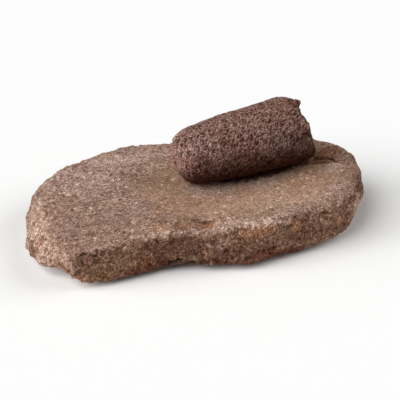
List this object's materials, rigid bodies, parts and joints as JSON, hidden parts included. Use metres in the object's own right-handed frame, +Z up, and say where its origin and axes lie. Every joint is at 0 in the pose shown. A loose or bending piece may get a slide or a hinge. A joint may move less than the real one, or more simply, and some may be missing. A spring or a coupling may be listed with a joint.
{
  "type": "grinding stone with pestle",
  "caption": "Natural stone slab with a shallow dish worn into its top for grinding, and a broken, round-ended stone pestle lying on it.",
  "frame": {"origin": "on the ground, under the middle of the box around both stones", "axes": "+X along the slab to its narrow end, +Y to its back, +Z up out of the dish"},
  "size_m": [0.3978, 0.2396, 0.1342],
  "materials": {
    "slab_stone": "matte",
    "pestle_stone": "matte"
  },
  "bodies": {
    "root": {"grinding_stone": "slab_stone", "pestle": "pestle_stone"}
  },
  "joints": []
}
